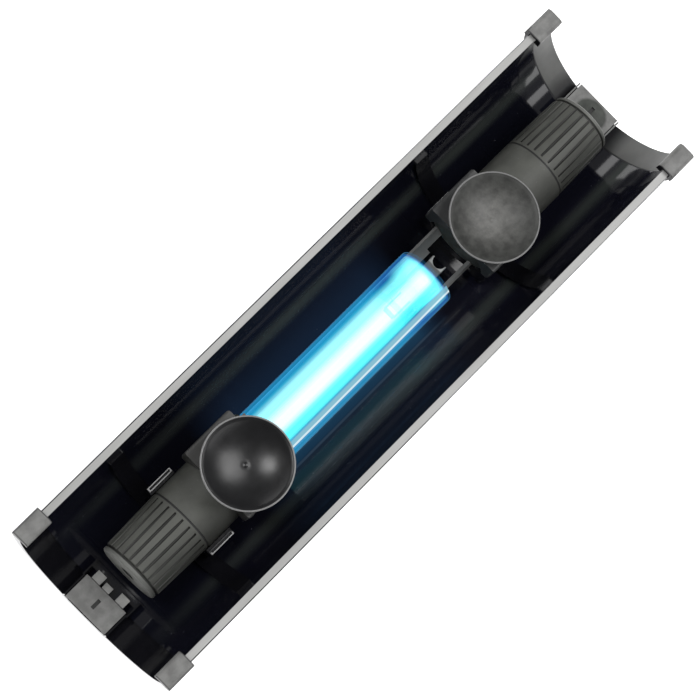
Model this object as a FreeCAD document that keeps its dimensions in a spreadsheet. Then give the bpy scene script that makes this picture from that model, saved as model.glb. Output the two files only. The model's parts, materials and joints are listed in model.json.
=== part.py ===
import FreeCAD, Part
import os
import re
import Sketcher

# Submersible UV clarifier: a lamp unit that stands in a half-pipe light shade.
#
# Frame: X runs along the lamp, from the cable end (-X) to the tail end (+X). Y runs across.
# Z is up, out of the open side of the shade. The origin is on the floor under the middle of
# the shade. The shade's own axis lies in the plane of its two rims, at height rim_z.
#
# The shade carries an end collar with rim hooks at each end, a cable keeper in each collar, and
# two cradles. The lamp unit lifts out of the cradles: two barrels joined by struts, a quartz
# sleeve with the UV tube in it, a screw cap on each barrel and a suction cup holder on each.

DIMENSIONS = {
    # shade: a half pipe, open upwards
    "rim_z": 42.2,
    "shade_outer_r": 38.4,
    "shade_inner_r": 35.2,
    "shade_half_length": 132.0,
    # end collars
    "collar_end_x": 143.3,
    "collar_band_r": 36.0,
    "collar_outer_r": 40.2,
    "collar_socket_r": 38.5,
    "collar_socket_x": 124.0,
    "collar_socket_half_angle": 68,
    "collar_floor_z": 1.0,
    "collar_foot_half_width": 11.0,
    "collar_foot_inset": 6.0,
    "hook_start_x": 130.7,
    "hook_inner_y": 32.6,
    "hook_outer_y": 40.2,
    "hook_slot_inner_y": 34.9,
    "hook_top_z": 44.4,
    "hook_slot_top_z": 42.9,
    "hook_lip_z": 39.4,
    "hook_round": 1.9,
    "hook_clearance": 0.15,
    "hook_slot_depth": 0.6,
    # cable keepers
    "keeper_top_z": 13.2,
    "keeper_thickness": 1.4,
    "keeper_half_width": 10.2,
    "keeper_leg": 1.5,
    "keeper_start_x": 132.1,
    "keeper_slot_length": 4.2,
    "keeper_slot_width": 1.5,
    "keeper_slot_depth": 0.7,
    "rail_drop": 0.5,
    "rail_gap": 0.4,
    "rail_width": 0.6,
    "rail_finger_x": 125.5,
    "rail_finger_jog": 0.5,
    "rail_finger_z": 9.6,
    "tab_width": 4.2,
    "tab_length": 4.2,
    "tab_offset_y": 6.1,
    "tab_gap": 0.3,
    "tab_drop": 0.15,
    "tab_thickness": 1.2,
    "tab_neck_drop": 0.55,
    "tab_neck_inset": 0.5,
    "middle_tab_width": 3.6,
    "middle_tab_length": 2.9,
    "middle_tab_y": 1.1,
    # rubber feet
    "foot_r": 3.6,
    "foot_x": 137.4,
    "foot_y": 7.0,
    # cradles
    "near_cradle_x": -90.4,
    "far_cradle_x": 61.3,
    "cradle_length": 12.0,
    "cradle_bore_r": 14.3,
    "cradle_outer_y": 17.1,
    "cradle_tip_inner_y": 15.4,
    "cradle_tip_z": 29.6,
    "cradle_band_r": 33.9,
    "cradle_band_length": 7.0,
    "cradle_band_shift": 6.1,
    "cradle_band_half_angle": 76,
    "cradle_tip_groove": 0.9,
    "cradle_groove_depth": 0.8,
    "cradle_groove_margin": 0.8,
    "cradle_tip_round": 0.8,
    "cradle_flare_rise": 0.9,
    "cradle_wall": 2.4,
    "cradle_window_y": 7.5,
    "cradle_window_z0": 8.2,
    "cradle_window_z1": 13.6,
    "screw_shank_r": 1.5,
    "screw_hole_r": 1.7,
    "screw_head_r": 3.0,
    "screw_head_z": 1.9,
    "screw_depth": 6.5,
    "screw_tip_gap": 0.4,
    "screw_dome": 0.8,
    "drive_half_length": 1.6,
    "drive_half_width": 0.35,
    # lamp unit
    "lamp_z": 27.4,
    "lamp_mid_x": 1.8,
    "seam_x": 97.2,
    "barrel_outer_r": 14.0,
    "barrel_bore_r": 12.65,
    "near_barrel_end_x": -53.0,
    "far_barrel_end_x": 57.0,
    "barrel_wall": 1.8,
    "vent_r": 2.0,
    "gasket": 0.8,
    "gasket_inner_r": 12.75,
    "gasket_outer_r": 13.7,
    # screw caps
    "cap_length": 27.5,
    "cap_root_r": 13.9,
    "cap_tip_r": 13.25,
    "cap_shoulder": 0.9,
    "cap_disc": 1.5,
    "cap_disc_r": 12.9,
    "cap_disc_chamfer": 0.5,
    "cap_ring_groove": 0.8,
    "cap_ring_groove_r": 12.3,
    "cap_rib_chamfer": 0.5,
    "cap_wall": 2.2,
    "cap_cavity_r": 11.2,
    "cap_spigot_length": 6.5,
    "cap_spigot_r": 12.35,
    "cap_rib_count": 24,
    "cap_groove_r": 0.62,
    "cap_groove_inset": 0.45,
    "cap_groove_margin": 0.9,
    "inlet_r": 3.3,
    "gland_bore_r": 2.5,
    "gland_length": 4.6,
    "gland_flange_r": 4.6,
    "gland_flange": 1.2,
    # struts between the barrels
    "strut_inner_r": 12.75,
    "left_strut_start": 24,
    "left_strut_sweep": 28,
    "left_strut_step_start": 33,
    "left_strut_step_sweep": 19,
    "left_strut_step": 8.3,
    "right_strut_start": -42,
    "right_strut_sweep": 8,
    "rest_half_angle": 14.5,
    "rest_end_x": 49.4,
    "rest_notch_r": 2.9,
    # quartz sleeve and its seal
    "sleeve_outer_r": 12.5,
    "sleeve_inner_r": 11.0,
    "sleeve_mouth_x": -84.0,
    "sleeve_end_x": 38.2,
    "sleeve_bottom": 1.6,
    "sleeve_round": 1.0,
    "sleeve_inner_round": 1.2,
    "bung_flange": 2.1,
    "bung_plug_length": 6.7,
    "bung_plug_r": 10.95,
    "bung_bore_r": 7.55,
    "ring_thickness": 2.5,
    "ring_outer_r": 12.3,
    "ring_inner_r": 8.3,
    "ring_gap": 0.1,
    # UV tube, its base and its socket
    "tube_r": 7.75,
    "tube_wall": 1.0,
    "tube_start_x": -68.0,
    "tube_end_x": 28.0,
    "tube_round": 3.5,
    "tube_end_wall": 2.0,
    "tube_inner_round": 2.6,
    "base_r": 8.4,
    "base_length": 9.2,
    "pin_r": 0.7,
    "pin_length": 6.4,
    "pin_circle_r": 4.2,
    "socket_r": 7.5,
    "socket_length": 12.6,
    "contact_r": 1.3,
    "tip_r": 3.2,
    "tip_length": 2.6,
    "tip_round": 1.0,
    "spacer_x": 17.4,
    "spacer_length": 1.6,
    "spacer_angle": 28,
    "finger_length": 10.0,
    "finger_root_r": 1.35,
    "finger_tip_r": 0.3,
    "finger_pitch_r": 9.3,
    "electrode_post_r": 0.35,
    "electrode_gap": 2.4,
    "electrode_length": 9.0,
    "coil_r": 0.9,
    # suction cup holders
    "near_holder_x": -67.5,
    "far_holder_x": 64.7,
    "holder_length": 23.0,
    "holder_half_width": 17.0,
    "holder_top_z": 43.0,
    "holder_skirt_z": 30.2,
    "holder_bore_r": 14.02,
    "holder_round": 1.2,
    "claw_outer_r": 16.3,
    "claw_length": 6.6,
    "claw_start": 62,
    "claw_sweep": 50,
    "lug_length": 3.4,
    "lug_width": 2.0,
    "lug_y": 11.0,
    "lug_depth": 2.6,
    "cup_shift_x": 0.7,
    "cup_shift_y": -1.9,
    "boss_r": 7.0,
    "boss_z": 45.6,
    "pocket_r": 4.95,
    "pocket_z": 42.3,
    "pocket_top_z": 43.3,
    "neck_bore_r": 4.3,
    # suction cups
    "cup_r": 17.7,
    "cup_lip_z": 53.6,
    "cup_outer_sphere_r": 25.6,
    "cup_bottom_z": 45.9,
    "cup_inner_sphere_r": 28.6,
    "cup_bowl_z": 48.0,
    "neck_r": 4.22,
    "bulb_r": 4.85,
    "bulb_z": 42.4,
    "bulb_top_z": 43.2,
    "nub_r": 0.9,
    "nub_height": 0.25,
}

doc = FreeCAD.newDocument("uv_clarifier")
sheet = doc.addObject("Spreadsheet::Sheet", "Dimensions")
for row, (alias, value) in enumerate(DIMENSIONS.items(), start=1):
    sheet.set("A%d" % row, alias)
    sheet.set("B%d" % row, str(value))
    sheet.setAlias("B%d" % row, alias)
doc.recompute()

ALIAS = re.compile(r"\b(" + "|".join(sorted(DIMENSIONS, key=len, reverse=True)) + r")\b")
ALONG_Z = FreeCAD.Rotation()
ALONG_X = FreeCAD.Rotation(FreeCAD.Vector(0, 1, 0), 90)   # a primitive's own Z turned to +X
HALF_TURN = FreeCAD.Rotation(FreeCAD.Vector(0, 0, 1), 180)
parts = []


def linked(text):
    """An expression over the sheet's aliases, as FreeCAD wants it."""
    return ALIAS.sub(r"Dimensions.\1", str(text))


def size(alias):
    """The number that the sheet holds, for what an expression can't drive."""
    return float(sheet.get(alias))


def primitive(kind, name, sizes, at, rotation=ALONG_Z):
    item = doc.addObject(kind, name)
    item.Placement = FreeCAD.Placement(FreeCAD.Vector(), rotation)
    for prop, text in sizes.items():
        item.setExpression(prop, linked(text))
    for axis, text in zip("xyz", at):
        item.setExpression("Placement.Base." + axis, linked(text))
    return item


def rod(name, radius, x0, x1, y="0", z="lamp_z"):
    """A cylinder along X from x0 to x1."""
    sizes = {"Radius": radius, "Height": "(%s) - (%s)" % (x1, x0)}
    return primitive("Part::Cylinder", name, sizes, (x0, y, z), ALONG_X)


def post(name, radius, z0, z1, x, y="0"):
    """A cylinder along Z from z0 to z1."""
    sizes = {"Radius": radius, "Height": "(%s) - (%s)" % (z1, z0)}
    return primitive("Part::Cylinder", name, sizes, (x, y, z0))


def sector(name, radius, start, sweep, x0, x1, z):
    """A slice of a cylinder along X. Angles start at the bottom and grow towards +Y."""
    turned = FreeCAD.Rotation(FreeCAD.Vector(1, 0, 0), start).multiply(ALONG_X)
    sizes = {"Radius": radius, "Height": "(%s) - (%s)" % (x1, x0), "Angle": sweep}
    return primitive("Part::Cylinder", name, sizes, (x0, "0", z), turned)


def block(name, x0, x1, y0, y1, z0, z1):
    sizes = {
        "Length": "(%s) - (%s)" % (x1, x0),
        "Width": "(%s) - (%s)" % (y1, y0),
        "Height": "(%s) - (%s)" % (z1, z0),
    }
    return primitive("Part::Box", name, sizes, (x0, y0, z0))


def ball(name, radius, z, x, y="0"):
    return primitive("Part::Sphere", name, {"Radius": radius}, (x, y, z))


def fuse(name, items):
    item = doc.addObject("Part::MultiFuse", name)
    item.Shapes = items
    item.Refine = True
    return item


def cut(name, base, tools):
    item = doc.addObject("Part::Cut", name)
    item.Base = base
    item.Tool = tools[0] if len(tools) == 1 else fuse(name + "_tools", tools)
    item.Refine = True
    return item


def common(name, items):
    item = doc.addObject("Part::MultiCommon", name)
    item.Shapes = items
    return item


def arc_wall(name, outer, inner, start, sweep, x0, x1, z):
    """A curved wall between two radii, over a stretch of angle."""
    slice_ = sector(name + "_slice", outer, start, sweep, x0, x1, z)
    middle = rod(name + "_middle", inner, "(%s) - 1" % x0, "(%s) + 1" % x1, z=z)
    return cut(name + "_wall", slice_, [middle])


def tube(name, outer, inner, x0, x1):
    body = rod(name + "_body", outer, x0, x1)
    bore = rod(name + "_bore", inner, "(%s) - 1" % x0, "(%s) + 1" % x1)
    return cut(name + "_tube", body, [bore])


def rounded(name, base, radius, wanted):
    """Rounds the edges of base that wanted(edge) picks."""
    doc.recompute()
    item = doc.addObject("Part::Fillet", name)
    item.Base = base
    picks = [i for i, edge in enumerate(base.Shape.Edges, start=1) if wanted(edge)]
    if not picks:
        raise ValueError("no edge to round on " + name)
    item.Edges = [(i, radius, radius) for i in picks]
    return item


def keep(item, label):
    """Marks an object as a finished sub-part. Its label is the name of its file."""
    item.Label = label
    parts.append(item)
    return item


def mirrored_end(x0, x1, side):
    """The same stretch of X on either end: side is -1 at the cable end, 1 at the tail."""
    if side > 0:
        return x0, x1
    return "-(%s)" % x1, "-(%s)" % x0


def near_far():
    return (("near", -1), ("far", 1))


# ---------------------------------------------------------------- sketches and bodies

def origin_item(body, role):
    return next(item for item in body.Origin.OriginFeatures if item.Role == role)


def outline(body, name, plane, points):
    """A closed outline. Each point is a pair of expressions, and "0" keeps it on an axis."""
    sketch = body.newObject("Sketcher::SketchObject", name)
    sketch.AttachmentSupport = [(origin_item(body, plane), "")]
    sketch.MapMode = "FlatFace"
    places = [tuple(float(sheet.evalExpression(linked(text))) for text in point) for point in points]
    count = len(points)
    for i, (x, y) in enumerate(places):
        nx, ny = places[(i + 1) % count]
        line = Part.LineSegment(FreeCAD.Vector(x, y, 0), FreeCAD.Vector(nx, ny, 0))
        sketch.addGeometry(line, False)
    for i in range(count):
        sketch.addConstraint(Sketcher.Constraint("Coincident", i, 2, (i + 1) % count, 1))
    for i, (point, place) in enumerate(zip(points, places)):
        for text, value, kind, axis in zip(point, place, ("DistanceX", "DistanceY"), (-2, -1)):
            if text == "0":
                sketch.addConstraint(Sketcher.Constraint("PointOnObject", i, 1, axis))
                continue
            index = sketch.addConstraint(Sketcher.Constraint(kind, -1, 1, i, 1, value))
            sketch.setExpression("Constraints[%d]" % index, linked(text))
    return sketch


def turned_body(name, points, axis):
    """A body of revolution from an outline in the XZ plane, about H_Axis or V_Axis."""
    body = doc.addObject("PartDesign::Body", name)
    sketch = outline(body, name + "_outline", "XZ_Plane", points)
    turn = body.newObject("PartDesign::Revolution", name + "_turn")
    turn.Profile = sketch
    turn.ReferenceAxis = (sketch, [axis])
    turn.Angle = 360
    sketch.Visibility = False
    doc.recompute()
    return body


def stand(body, x, z, rotation=ALONG_Z):
    body.Placement = FreeCAD.Placement(FreeCAD.Vector(), rotation)
    body.setExpression("Placement.Base.x", linked(x))
    body.setExpression("Placement.Base.z", linked(z))


# ---------------------------------------------------------------- shade

def make_shade():
    shell = arc_wall("shade", "shade_outer_r", "shade_inner_r", -90, "180",
                     "-shade_half_length", "shade_half_length", "rim_z")
    holes = [
        post("shade_hole_" + end, "screw_hole_r", "0", "rim_z - shade_inner_r + 2", end + "_cradle_x")
        for end, side in near_far()
    ]
    keep(cut("shade_shell_cut", shell, holes), "shade_shell")


def make_collar(end, side):
    """A band in line with the shade, a socket round its end, a hook over each rim and a foot."""
    name = end + "_collar_"
    x0, x1 = mirrored_end("shade_half_length", "collar_end_x", side)
    band = arc_wall(name + "band", "collar_outer_r", "collar_band_r", -90, "180", x0, x1, "rim_z")
    sx0, sx1 = mirrored_end("collar_socket_x", "shade_half_length", side)
    socket = arc_wall(name + "socket", "collar_outer_r", "collar_socket_r",
                      -size("collar_socket_half_angle"), "2 * collar_socket_half_angle", sx0, sx1, "rim_z")
    pieces = [band, socket]
    for hand, sign in (("left", 1), ("right", -1)):
        pieces.append(make_hook(name + hand, side, sign))
    fx0, fx1 = mirrored_end("collar_socket_x + collar_foot_inset", "collar_end_x", side)
    foot = block(name + "foot", fx0, fx1, "-collar_foot_half_width", "collar_foot_half_width",
                 "collar_floor_z", "rim_z - collar_band_r - 1")
    shade_seat = rod(name + "seat", "collar_socket_r", "-shade_half_length", "shade_half_length", z="rim_z")
    pieces.append(cut(name + "foot_cut", foot, [shade_seat]))
    rail_x0, rail_x1 = mirrored_end("keeper_start_x + rail_gap", "collar_end_x", side)
    inner = "keeper_half_width + rail_gap"
    outer = "keeper_half_width + rail_gap + rail_width"
    rail_top = "keeper_top_z - rail_drop"
    floor = "rim_z - collar_band_r - 1"
    finger_x0, finger_x1 = mirrored_end("rail_finger_x", "keeper_start_x + 1", side)
    for hand, sign in (("left", 1), ("right", -1)):
        y0, y1 = (inner, outer) if sign > 0 else ("-(%s)" % outer, "-(%s)" % inner)
        pieces.append(block(name + "rail_" + hand, rail_x0, rail_x1, y0, y1, floor, rail_top))
        jog = " + %d * rail_finger_jog" % sign
        pieces.append(block(name + "finger_" + hand, finger_x0, finger_x1, y0 + jog, y1 + jog,
                            "rail_finger_z", rail_top))
    keep(fuse(name + "fused", pieces), end + "_end_collar")


def make_hook(name, side, sign):
    """A rounded hook over one rim, open towards the shade for the rim to run in."""
    x0, x1 = mirrored_end("hook_start_x", "collar_end_x", side)
    if sign > 0:
        y0, y1 = "hook_inner_y", "hook_outer_y"
        s0, s1 = "hook_slot_inner_y", "shade_outer_r + hook_clearance"
    else:
        y0, y1 = "-hook_outer_y", "-hook_inner_y"
        s0, s1 = "-shade_outer_r - hook_clearance", "-hook_slot_inner_y"
    body = block(name + "_body", x0, x1, y0, y1, "hook_lip_z", "hook_top_z")
    slot_x0, slot_x1 = mirrored_end("hook_start_x - 1", "shade_half_length + hook_slot_depth", side)
    slot = block(name + "_slot", slot_x0, slot_x1, s0, s1, "hook_lip_z - 1", "hook_slot_top_z")
    top_z = size("hook_top_z")

    def long_top_edge(edge):
        box = edge.BoundBox
        return box.ZMin > top_z - 0.01 and box.XLength > 1

    smooth = rounded(name + "_smooth", body, size("hook_round"), long_top_edge)
    return cut(name + "_hook", smooth, [slot])


def make_keeper(end, side):
    """A bridge over the collar's floor, which holds the cable down. Three tabs point inwards."""
    name = end + "_keeper_"
    x0, x1 = mirrored_end("keeper_start_x", "collar_end_x", side)
    top = block(name + "top", x0, x1, "-keeper_half_width", "keeper_half_width",
                "keeper_top_z - keeper_thickness", "keeper_top_z")
    pieces = [top]
    for hand, sign in (("left", 1), ("right", -1)):
        inner = "keeper_half_width - keeper_leg"
        y0, y1 = (inner, "keeper_half_width") if sign > 0 else ("-keeper_half_width", "-(%s)" % inner)
        leg = block(name + "leg_" + hand, x0, x1, y0, y1, "rim_z - collar_band_r",
                    "keeper_top_z - keeper_thickness / 2")
        bed = rod(name + "bed_" + hand, "collar_band_r", "-collar_end_x - 1", "collar_end_x + 1", z="rim_z")
        pieces.append(common(name + "fitted_" + hand, [leg, bed]))
    for label, y, width, length in (("outer", "-tab_offset_y", "tab_width", "tab_length"),
                                    ("inner", "tab_offset_y", "tab_width", "tab_length"),
                                    ("middle", "-middle_tab_y", "middle_tab_width", "middle_tab_length")):
        pieces += make_tab(name + label, side, "%d * (%s)" % (side, y), width, length)
    solid = fuse(name + "fused", pieces)
    centre_x = "%d * (keeper_start_x + collar_end_x) / 2" % side
    pocket = block(name + "mark", "%s - keeper_slot_length / 2" % centre_x,
                   "%s + keeper_slot_length / 2" % centre_x, "-keeper_slot_width / 2",
                   "keeper_slot_width / 2", "keeper_top_z - keeper_slot_depth", "keeper_top_z + 1")
    keep(cut(name + "cut", solid, [pocket]), end + "_cable_keeper")


def make_tab(name, side, y, width, length):
    """A small pad that points inwards, on a lower and narrower neck."""
    half = width + " / 2"
    x0, x1 = mirrored_end("keeper_start_x - " + length, "keeper_start_x - tab_gap", side)
    pad = block(name + "_pad", x0, x1, "%s - %s" % (y, half), "%s + %s" % (y, half),
                "keeper_top_z - tab_drop - tab_thickness", "keeper_top_z - tab_drop")
    x0, x1 = mirrored_end("keeper_start_x - tab_gap - 1", "keeper_start_x + 1", side)
    neck = block(name + "_neck", x0, x1, "%s - %s + tab_neck_inset" % (y, half),
                 "%s + %s - tab_neck_inset" % (y, half), "keeper_top_z - tab_drop - tab_thickness",
                 "keeper_top_z - tab_neck_drop")
    return [pad, neck]


def make_feet():
    feet = []
    for end, side in near_far():
        for hand, sign in (("left", 1), ("right", -1)):
            feet.append(post("foot_%s_%s" % (end, hand), "foot_r", "0", "collar_floor_z",
                             "%d * foot_x" % side, "%d * foot_y" % sign))
    keep(fuse("feet", feet), "foot_pads")


def make_cradle(end, side):
    """A U-shaped saddle for a barrel, on a band inside the shade."""
    name = end + "_cradle_"
    centre = end + "_cradle_x"
    x0 = "%s - cradle_length / 2" % centre
    x1 = "%s + cradle_length / 2" % centre
    band_x = "%s + %d * cradle_band_shift" % (centre, side)
    band = arc_wall(name + "band", "shade_inner_r", "cradle_band_r", -size("cradle_band_half_angle"),
                    "2 * cradle_band_half_angle", "%s - cradle_band_length / 2" % band_x,
                    "%s + cradle_band_length / 2" % band_x, "rim_z")
    post_block = block(name + "block", x0, x1, "-cradle_outer_y", "cradle_outer_y",
                       "rim_z - shade_inner_r - 1", "cradle_tip_z")
    inside = rod(name + "inside", "shade_inner_r", "-shade_half_length", "shade_half_length", z="rim_z")
    saddle = common(name + "saddle", [post_block, inside])
    bore = rod(name + "bore", "cradle_bore_r", x0 + " - 1", x1 + " + 1")
    mouth = block(name + "mouth", x0 + " - 1", x1 + " + 1", "-cradle_bore_r", "cradle_bore_r",
                  "lamp_z", "cradle_tip_z + 1")
    flare = block(name + "flare", x0 + " - 1", x1 + " + 1", "-cradle_tip_inner_y", "cradle_tip_inner_y",
                  "lamp_z + cradle_flare_rise", "cradle_tip_z + 1")
    window_y = "cradle_outer_y - cradle_wall"
    windows = []
    for hand, sign in (("left", 1), ("right", -1)):
        near_y, far_y = "cradle_window_y", window_y
        y0, y1 = (near_y, far_y) if sign > 0 else ("-(%s)" % far_y, "-(%s)" % near_y)
        windows.append(block(name + "window_" + hand, x0 + " - 1", x1 + " + 1", y0, y1,
                             "cradle_window_z0", "cradle_window_z1"))
    pilot = post(name + "pilot", "screw_shank_r", "0", "rim_z - shade_inner_r + screw_depth - 1", centre)
    solid = fuse(name + "solid", [band, saddle])
    carved = cut(name + "carved", solid, [bore, mouth, flare, pilot] + windows)
    tip_z = size("cradle_tip_z")
    inner_y = size("cradle_tip_inner_y") - 0.01

    def tip_corner(edge):
        box = edge.BoundBox
        at_tip = box.ZMin > tip_z - 0.01 and box.XLength < 0.01
        return at_tip and max(abs(box.YMin), abs(box.YMax)) > inner_y

    soft = rounded(name + "soft", carved, size("cradle_tip_round"), tip_corner)
    grooves = []
    middle_y = "(cradle_outer_y + cradle_tip_inner_y) / 2"
    for hand, sign in (("left", 1), ("right", -1)):
        y = "%d * %s" % (sign, middle_y)
        grooves.append(block(name + "groove_" + hand, x0 + " + cradle_groove_margin",
                             x1 + " - cradle_groove_margin",
                             "%s - cradle_tip_groove / 2" % y, "%s + cradle_tip_groove / 2" % y,
                             "cradle_tip_z - cradle_groove_depth", "cradle_tip_z + 1"))
    keep(cut(name + "grooved", soft, grooves), end + "_cradle")


def make_screws():
    """A domed screw below each cradle, with a cross recess in its head."""
    screws = []
    for end, side in near_far():
        x = end + "_cradle_x"
        name = end + "_screw_"
        shank = post(name + "shank", "screw_shank_r", "rim_z - shade_outer_r - screw_tip_gap",
                     "rim_z - shade_inner_r + screw_depth - 1 - screw_tip_gap", x)
        head = post(name + "head", "screw_head_r", "screw_head_z", "rim_z - shade_outer_r", x)
        low_z = size("screw_head_z") + 0.01
        dome = rounded(name + "dome", head, size("screw_dome"), lambda edge: edge.BoundBox.ZMax < low_z)
        slots = []
        for label, along, across in (("a", "drive_half_length", "drive_half_width"),
                                     ("b", "drive_half_width", "drive_half_length")):
            slots.append(block(name + "drive_" + label, x + " - " + along, x + " + " + along,
                               "-" + across, across, "screw_head_z - 1", "screw_head_z + 1"))
        screws.append(cut(name + "screw", fuse(name + "blank", [shank, dome]), slots))
    keep(fuse("screws", screws), "cradle_screws")


# ---------------------------------------------------------------- lamp unit

def make_barrels():
    near = tube("near_barrel", "barrel_outer_r", "barrel_bore_r",
                "lamp_mid_x - seam_x + gasket", "near_barrel_end_x")
    keep(near, "near_barrel")
    shell = rod("far_barrel_body", "barrel_outer_r", "far_barrel_end_x", "lamp_mid_x + seam_x - gasket")
    bore = rod("far_barrel_bore", "barrel_bore_r", "far_barrel_end_x + barrel_wall",
               "lamp_mid_x + seam_x + 1")
    vent = rod("far_barrel_vent", "vent_r", "far_barrel_end_x - 1", "far_barrel_end_x + barrel_wall + 1")
    keep(cut("far_barrel_cut", shell, [bore, vent]), "far_barrel")
    for end, side in near_far():
        x0, x1 = mirrored_end("seam_x - gasket", "seam_x", side)
        ring = tube(end + "_gasket", "gasket_outer_r", "gasket_inner_r",
                    "lamp_mid_x + (%s)" % x0, "lamp_mid_x + (%s)" % x1)
        keep(ring, end + "_gasket")


def make_struts():
    """Three strips in line with the barrels' walls. The lowest one only carries the sleeve."""
    wide = arc_wall("left_strut_wide", "barrel_outer_r", "strut_inner_r", size("left_strut_start"),
                    "left_strut_sweep", "near_barrel_end_x", "far_barrel_end_x - left_strut_step", "lamp_z")
    narrow = arc_wall("left_strut_narrow", "barrel_outer_r", "strut_inner_r",
                      size("left_strut_step_start"), "left_strut_step_sweep",
                      "far_barrel_end_x - left_strut_step - 1", "far_barrel_end_x", "lamp_z")
    keep(fuse("left_strut_fused", [wide, narrow]), "left_strut")
    right = arc_wall("right_strut", "barrel_outer_r", "strut_inner_r", size("right_strut_start"),
                     "right_strut_sweep", "near_barrel_end_x", "far_barrel_end_x", "lamp_z")
    keep(right, "right_strut")
    rest = arc_wall("sleeve_rest", "barrel_outer_r", "strut_inner_r", -size("rest_half_angle"),
                    "2 * rest_half_angle", "near_barrel_end_x", "rest_end_x", "lamp_z")
    notch = post("sleeve_rest_notch", "rest_notch_r", "0", "lamp_z", "rest_end_x")
    keep(cut("sleeve_rest_cut", rest, [notch]), "sleeve_rest")


def make_sleeve():
    outer = rod("sleeve_outer", "sleeve_outer_r", "sleeve_mouth_x", "sleeve_end_x")
    end_x = size("sleeve_end_x")
    smooth = rounded("sleeve_smooth", outer, size("sleeve_round"),
                     lambda edge: edge.BoundBox.XMin > end_x - 0.01)
    inner = rod("sleeve_inner", "sleeve_inner_r", "sleeve_mouth_x - 1", "sleeve_end_x - sleeve_bottom")
    inner_end = end_x - size("sleeve_bottom")
    inner_smooth = rounded("sleeve_inner_smooth", inner, size("sleeve_inner_round"),
                           lambda edge: edge.BoundBox.XMin > inner_end - 0.01)
    keep(cut("sleeve_cut", smooth, [inner_smooth]), "quartz_sleeve")


def make_seal():
    """The rubber bung in the sleeve's mouth, and the ring that the cap presses on it."""
    flange_x = "sleeve_mouth_x - bung_flange"
    flange = rod("bung_flange_disc", "sleeve_outer_r", flange_x, "sleeve_mouth_x")
    plug = rod("bung_plug", "bung_plug_r", "sleeve_mouth_x - 0.5", "sleeve_mouth_x + bung_plug_length")
    bore = rod("bung_bore", "bung_bore_r", flange_x + " - 1", "sleeve_mouth_x + bung_plug_length + 1")
    keep(cut("bung_cut", fuse("bung_blank", [flange, plug]), [bore]), "sleeve_bung")
    ring_x = "sleeve_mouth_x - bung_flange - ring_gap"
    ring = tube("thrust_ring", "ring_outer_r", "ring_inner_r", ring_x + " - ring_thickness", ring_x)
    keep(ring, "near_thrust_ring")


def make_uv_tube():
    glass = rod("uv_glass", "tube_r", "tube_start_x", "tube_end_x")
    end_x = size("tube_end_x")
    smooth = rounded("uv_smooth", glass, size("tube_round"), lambda edge: edge.BoundBox.XMin > end_x - 0.01)
    hollow = rod("uv_hollow", "tube_r - tube_wall", "tube_start_x + tube_end_wall",
                 "tube_end_x - tube_end_wall")
    hollow_end = end_x - size("tube_end_wall")
    hollow_smooth = rounded("uv_hollow_smooth", hollow, size("tube_inner_round"),
                            lambda edge: edge.BoundBox.XMin > hollow_end - 0.01)
    keep(cut("uv_tube_cut", smooth, [hollow_smooth]), "uv_tube")
    electrodes = []
    for end, start, reach in (("near", "tube_start_x + tube_end_wall", 1),
                              ("far", "tube_end_x - tube_end_wall", -1)):
        tip = "%s + %d * electrode_length" % (start, reach)
        x0, x1 = (start, tip) if reach > 0 else (tip, start)
        for hand, sign in (("left", 1), ("right", -1)):
            electrodes.append(rod("electrode_%s_%s" % (end, hand), "electrode_post_r", x0, x1,
                                  y="%d * electrode_gap" % sign))
        coil = {"Radius": "coil_r", "Height": "2 * electrode_gap"}
        turned = FreeCAD.Rotation(FreeCAD.Vector(1, 0, 0), -90)
        electrodes.append(primitive("Part::Cylinder", "coil_" + end, coil,
                                    (tip, "-electrode_gap", "lamp_z"), turned))
    keep(fuse("electrodes_fused", electrodes), "electrodes")
    make_tip()


def make_tip():
    """The sealed-off nipple in the middle of the tube's far end."""
    nipple = rod("tube_tip_body", "tip_r", "tube_end_x", "tube_end_x + tip_length")
    end_x = size("tube_end_x") + size("tip_length")
    keep(rounded("tube_tip_round", nipple, size("tip_round"),
                 lambda edge: edge.BoundBox.XMin > end_x - 0.01), "tube_tip")


def make_spacer():
    """A ring on the tube with four tapered fingers, which keep it in the middle of the sleeve."""
    x1 = "spacer_x + spacer_length"
    pieces = [rod("spacer_ring", "finger_pitch_r + finger_root_r", "spacer_x", x1)]
    for name, y, z in (("upper_left", 1, 1), ("upper_right", -1, 1),
                       ("lower_left", 1, -1), ("lower_right", -1, -1)):
        sizes = {"Radius1": "finger_root_r", "Radius2": "finger_tip_r", "Height": "finger_length"}
        place = ("%s - 0.2" % x1, "%d * finger_pitch_r * sin(spacer_angle)" % y,
                 "lamp_z + %d * finger_pitch_r * cos(spacer_angle)" % z)
        pieces.append(primitive("Part::Cone", "spacer_" + name, sizes, place, ALONG_X))
    bore = rod("spacer_bore", "tube_r", "spacer_x - 1", x1 + " + finger_length")
    keep(cut("spacer_cut", fuse("spacer_blank", pieces), [bore]), "tube_spacer")


def pin_places():
    return ((1, 1), (1, -1), (-1, 1), (-1, -1))


def pin_rods(name, radius, x0, x1):
    rods = []
    for i, (y, z) in enumerate(pin_places(), start=1):
        rods.append(rod("%s_%d" % (name, i), radius, x0, x1, y="%d * pin_circle_r * 0.7071" % y,
                        z="lamp_z + %d * pin_circle_r * 0.7071" % z))
    return rods


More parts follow.
